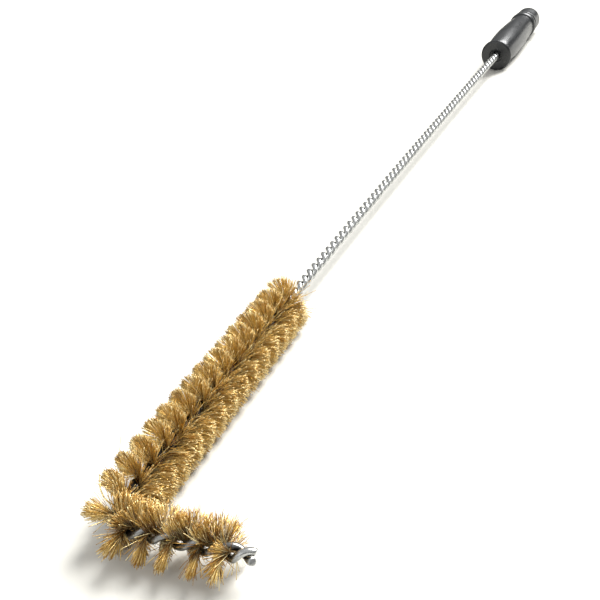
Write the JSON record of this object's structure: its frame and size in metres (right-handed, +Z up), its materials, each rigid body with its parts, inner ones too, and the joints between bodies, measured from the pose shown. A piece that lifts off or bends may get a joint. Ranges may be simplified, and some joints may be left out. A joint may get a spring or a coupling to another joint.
{
  "type": "wire brush",
  "caption": "Long-handled twisted-wire brush: brass filaments wound in a spiral round a steel stem whose tip is bent to an L, with a black moulded grip and end cap.",
  "frame": {"origin": "centre of the base of the brush's bounding box, on the surface that the brush lies on", "axes": "+X along the handle towards its rounded end, +Z up, away from the surface, and the bent tip points along -Y"},
  "size_m": [0.7342, 0.0994, 0.0298],
  "materials": {
    "steel_wire": "zinc-plated wire, satin with dull patches",
    "brass_filament": "drawn brass filament, lightly tarnished at the roots",
    "grip_plastic": "semi-gloss moulded black plastic",
    "cap_plastic": "semi-gloss moulded black plastic"
  },
  "bodies": {
    "root": {"stem_wire_a": "steel_wire", "stem_wire_b": "steel_wire", "tip_bristle_row_01": "brass_filament", "tip_bristle_row_02": "brass_filament", "tip_bristle_row_03": "brass_filament", "tip_bristle_row_04": "brass_filament", "tip_bristle_row_05": "brass_filament", "bend_bristle_row_06": "brass_filament", "shaft_bristle_row_07": "brass_filament", "shaft_bristle_row_08": "brass_filament", "shaft_bristle_row_09": "brass_filament", "shaft_bristle_row_10": "brass_filament", "shaft_bristle_row_11": "brass_filament", "shaft_bristle_row_12": "brass_filament", "shaft_bristle_row_13": "brass_filament", "shaft_bristle_row_14": "brass_filament", "shaft_bristle_row_15": "brass_filament", "shaft_bristle_row_16": "brass_filament", "shaft_bristle_row_17": "brass_filament", "shaft_bristle_row_18": "brass_filament", "shaft_bristle_row_19": "brass_filament", "shaft_bristle_row_20": "brass_filament", "handle_grip": "grip_plastic", "handle_end_cap": "cap_plastic"}
  },
  "joints": []
}
